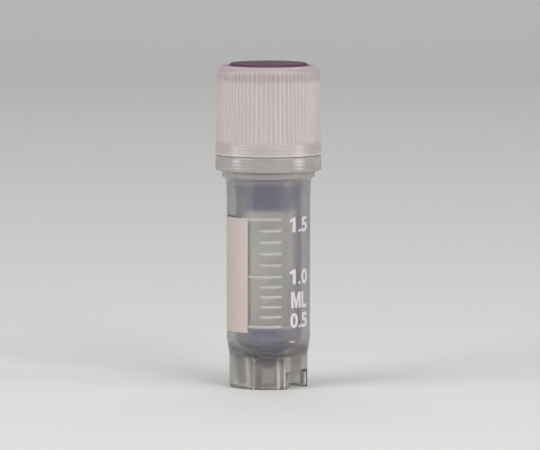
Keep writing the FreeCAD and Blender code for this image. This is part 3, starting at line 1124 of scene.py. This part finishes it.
@dataclass
class Printing:
    """White print on the tube: the writing panel, the scale and its numerals.

    Each label has a base, a height, and the azimuths between which its signs stand.
    """

    panel_ink: Finish = PadPrintedInk("white_panel_ink", "#AEA39D", shade="#A69B95")
    scale_ink: Finish = PadPrintedInk("white_scale_ink", "#A09D97", shade="#98958F")
    numeral_ink: Finish = PadPrintedInk("white_numeral_ink", "#C2BEBF", shade="#B8B4B5")
    tube_radius: float = 6.25
    gap: float = 0.006
    film: float = 0.034
    step_deg: float = 1.875
    least_steps: int = 4
    panel_start: float = 134.0
    panel_sweep: float = 196.5
    panel_low: float = 8.55
    panel_length: float = 17.15
    marks_right: float = 17.4
    short_sweep: float = 29.1
    long_sweep: float = 46.0
    mark_width: float = 0.4
    mark_count: int = 11
    marks_to_long: int = 5
    first_mark: float = 9.5
    lower_step: float = 1.5
    upper_step: float = 1.72
    labels: tuple[tuple[float, float, tuple[tuple[str, float, float], ...]], ...] = (
        (23.6, 2.25, (("1", 30.4, 40.0), (".", 45.3, 49.8), ("5", 51.4, 65.4))),
        (15.8, 2.25, (("1", 30.4, 40.2), (".", 45.3, 49.8), ("0", 51.2, 65.6))),
        (12.25, 2.4, (("M", 32.6, 50.0), ("L", 51.8, 64.0))),
        (9.25, 2.25, (("0", 31.2, 44.4), (".", 45.8, 50.0), ("5", 51.4, 65.4))),
    )
    type_weight: float = 0.03
    type_depth: float = 0.5
    type_steps: int = 5
    type_merge: float = 1e-5
    dot_below: float = 0.3
    dot_height: float = 0.2
    bends: int = 6
    bend_merge: float = 1e-6
    crease: float = 60.0

    def patch(self, start: float, sweep: float, low: float, high: float) -> Form:
        """Lay a curved patch of ink between two azimuths and two heights.

        Args:
            start: the azimuth of its left edge.
            sweep: how many degrees it runs on to the right.
            low: its lower edge.
            high: its upper edge.

        Returns:
            The closed patch.
        """
        inner = self.tube_radius + self.gap
        outer = inner + self.film
        outline = [(inner, low), (outer, low), (outer, high), (inner, high)]
        steps = max(self.least_steps, round(sweep / self.step_deg))
        bm = turn_outline(outline, steps, math.radians(sweep))
        bmesh.ops.holes_fill(bm, edges=[e for e in bm.edges if e.is_boundary], sides=4)
        turn_about(bm, start)
        return bm

    def build_panel(self) -> None:
        """Print the writing panel round the left side and the back."""
        high = self.panel_low + self.panel_length
        bm = self.patch(self.panel_start, self.panel_sweep, self.panel_low, high)
        piece = make_piece(bm, "writing_panel_print")
        dress(piece, self.panel_ink, Ride.VIAL, Slot.INK, "writing_panel")

    def build_marks(self) -> None:
        """Print the scale: a long mark at each half millilitre, short ones between."""
        whole = bmesh.new()
        for index in range(self.mark_count):
            lower = min(index, self.marks_to_long)
            middle = self.first_mark + lower * self.lower_step + (index - lower) * self.upper_step
            sweep = self.long_sweep if index % self.marks_to_long == 0 else self.short_sweep
            low, high = middle - self.mark_width / 2, middle + self.mark_width / 2
            gather(whole, self.patch(self.marks_right - sweep, sweep, low, high))
        piece = make_piece(whole, "scale_print")
        dress(piece, self.scale_ink, Ride.VIAL, Slot.INK, "graduation_marks")

    def build_numerals(self) -> None:
        """Print the numerals and the unit beside the scale."""
        whole = bmesh.new()
        for base, height, signs in self.labels:
            for sign, start, end in signs:
                bm = self._cut_sign(sign) if sign in CUT_SIGNS else self._type_sign(sign)
                self._wrap(bm, (start, end), base, height)
                gather(whole, bm)
        piece = make_piece(whole, "numerals_print", self.crease)
        dress(piece, self.numeral_ink, Ride.VIAL, Slot.INK)

    def build(self) -> None:
        """Print all of it."""
        self.build_panel()
        self.build_marks()
        self.build_numerals()

    def _cut_sign(self, sign: str) -> Form:
        """Cut a straight-sided sign, a unit high and wide, from one outline.

        Args:
            sign: the sign.

        Returns:
            The flat sign as a solid.
        """
        bm = bmesh.new()
        face = bm.faces.new([bm.verts.new((x, y, 0.0)) for x, y in CUT_SIGNS[sign]])
        made = bmesh.ops.extrude_face_region(bm, geom=[face], use_keep_orig=True)
        raised = [g for g in made["geom"] if isinstance(g, Point)]
        bmesh.ops.translate(bm, vec=(0, 0, 1), verts=raised)
        bmesh.ops.triangulate(bm, faces=bm.faces[:])
        return bm

    def _type_sign(self, sign: str) -> Form:
        """Set a round sign in bold type.

        Args:
            sign: the sign.

        Returns:
            The flat sign as a solid.
        """
        curve = bpy.data.curves.new("sign", "FONT")
        curve.body = sign
        curve.offset = self.type_weight
        curve.extrude = self.type_depth
        curve.resolution_u = self.type_steps
        letter = bpy.data.objects.new("sign", curve)
        bpy.context.scene.collection.objects.link(letter)
        graph = bpy.context.evaluated_depsgraph_get()
        mesh = bpy.data.meshes.new_from_object(letter.evaluated_get(graph))
        bpy.data.objects.remove(letter)
        bpy.data.curves.remove(curve)
        bm = bmesh.new()
        bm.from_mesh(mesh)
        bpy.data.meshes.remove(mesh)
        bmesh.ops.remove_doubles(bm, verts=bm.verts[:], dist=self.type_merge)
        return bm

    def _wrap(self, bm: Form, sides: Span, base: float, height: float) -> None:
        """Fit a flat sign between two azimuths and bend it onto the tube.

        Args:
            bm: the flat sign, which lies in XY.
            sides: the azimuths of its left and right edge.
            base: the height on which it stands.
            height: how tall a whole sign is.
        """
        start, end = sides
        left, right = min(v.co.x for v in bm.verts), max(v.co.x for v in bm.verts)
        low = min(v.co.y for v in bm.verts)
        tall = max(v.co.y for v in bm.verts) - low
        middle = sum(v.co.z for v in bm.verts) / len(bm.verts)
        scale = self.dot_height if tall < self.dot_below else 1.0
        for share in range(1, self.bends):
            place = left + (right - left) * share / self.bends
            bmesh.ops.bisect_plane(
                bm, geom=bm.verts[:] + bm.edges[:] + bm.faces[:], dist=self.bend_merge,
                plane_co=(place, 0, 0), plane_no=(1, 0, 0),
            )
        for vert in bm.verts:
            turn = math.radians(start + (end - start) * (vert.co.x - left) / (right - left))
            radius = self.tube_radius + self.gap + self.film * (vert.co.z > middle)
            rise = base + height * scale * (vert.co.y - low) / tall
            vert.co = Vector((radius * math.sin(turn), -radius * math.cos(turn), rise)) * MM


# ---------------------------------------------------------------- studio


@dataclass
class Studio:
    """Plain pale floor and backdrop, soft side lights and the camera.

    The floor, the lamps and the camera's clipping are in metres. A lamp has an azimuth,
    an elevation and a distance from the vial, a width and a height, and its watts.
    """

    paper: Finish = StudioPaper()
    floor_reach: float = 3.0
    wall_place: float = 1.3
    wall_top: float = 2.4
    sweep: float = 0.6
    sweep_steps: int = 24
    lamps: tuple[tuple[str, tuple[float, float, float], Span, float], ...] = (
        ("soft_left", (-50, 28, 0.9), (0.5, 0.4), 4.0),
        ("soft_right", (30, 28, 0.9), (0.5, 0.4), 4.6),
        ("strip_left", (-74, 8, 1.4), (0.38, 0.46), 5.6),
        ("strip_right", (70, 8, 1.4), (0.38, 0.46), 7.4),
        ("top", (10, 75, 1.0), (0.9, 0.7), 3.0),
        ("fill_back", (180, 52, 1.1), (1.0, 0.5), 2.6),
    )
    world_colour: str = "#E4E6EA"
    world_strength: float = 0.28
    seen_strength: float = 0.6
    distance: float = 1000.0
    eye_height: float = 112.0
    aim_height: float = 24.26
    aim_side: float = 0.232
    lens: float = 446.5
    sensor: float = 36.0
    clip: Span = (0.05, 10.0)

    def build_set(self) -> None:
        """Lay the floor and sweep it up into the backdrop."""
        bm = bmesh.new()
        reach, wall = self.floor_reach, self.wall_place
        verts = [
            bm.verts.new((-reach, y, z))
            for y, z in ((-reach, 0.0), (wall, 0.0), (wall, self.wall_top))
        ]
        for first, second in zip(verts, verts[1:]):
            bm.edges.new((first, second))
        bmesh.ops.bevel(
            bm, geom=[verts[1]], offset=self.sweep, segments=self.sweep_steps, profile=0.5,
            affect="VERTICES", material=-1,
        )
        made = bmesh.ops.extrude_edge_only(bm, edges=bm.edges[:])
        moved = [g for g in made["geom"] if isinstance(g, Point)]
        bmesh.ops.translate(bm, vec=(2 * reach, 0, 0), verts=moved)
        floor = make_piece(bm, "studio_floor")
        floor.data.materials.append(self.paper.build())

    def build_lamps(self) -> None:
        """Hang the soft rectangular lights and turn them to the vial."""
        for name, (azimuth, elevation, distance), size, power in self.lamps:
            lamp = bpy.data.lights.new(name, "AREA")
            lamp.shape = "RECTANGLE"
            lamp.size, lamp.size_y = size
            lamp.energy = power
            turn, tilt = math.radians(azimuth), math.radians(elevation)
            flat, rise = distance * math.cos(tilt), distance * math.sin(tilt)
            away = Vector((flat * math.sin(turn), -flat * math.cos(turn), rise))
            light = bpy.data.objects.new(name, lamp)
            light.location = away + Vector((0, 0, self.aim_height * MM))
            light.rotation_euler = (-away).to_track_quat("-Z", "Y").to_euler()
            bpy.context.scene.collection.objects.link(light)

    def build_world(self) -> None:
        """Fill the room with even light, and let the camera see a brighter ground."""
        world = bpy.data.worlds.new("studio_air")
        world.use_nodes = True
        world.node_tree.nodes.clear()
        add = partial(add_node, world.node_tree)
        seen = add("LightPath", output="Is Camera Ray")
        strength = add(
            "MapRange",
            {"Value": seen, "To Min": self.world_strength, "To Max": self.seen_strength},
        )
        light = {"Color": linear(self.world_colour), "Strength": strength}
        air = add("Background", light)
        add("OutputWorld", {"Surface": air})
        bpy.context.scene.world = world

    def build_camera(self) -> None:
        """Place the camera in front of the vial, a little above it."""
        lens = bpy.data.cameras.new("camera")
        lens.lens = self.lens
        lens.sensor_width = self.sensor
        lens.clip_start, lens.clip_end = self.clip
        camera = bpy.data.objects.new("camera", lens)
        aim = Vector((self.aim_side, 0, self.aim_height)) * MM
        eye = Vector((self.aim_side, -self.distance, self.eye_height)) * MM
        camera.location = eye
        camera.rotation_euler = (aim - eye).to_track_quat("-Z", "Y").to_euler()
        bpy.context.scene.collection.objects.link(camera)
        bpy.context.scene.camera = camera

    def build(self) -> None:
        """Build the whole studio."""
        self.build_set()
        self.build_lamps()
        self.build_world()
        self.build_camera()
        bpy.context.scene.view_settings.view_transform = "Standard"


def main() -> None:
    """Build and dress every piece."""
    logging.basicConfig(level=logging.INFO, format="%(name)s: %(message)s")
    for part in (Studio(), Vial(), Cap(), Insert(), Washer(), Printing()):
        part.build()


if __name__ == "__main__":
    main()
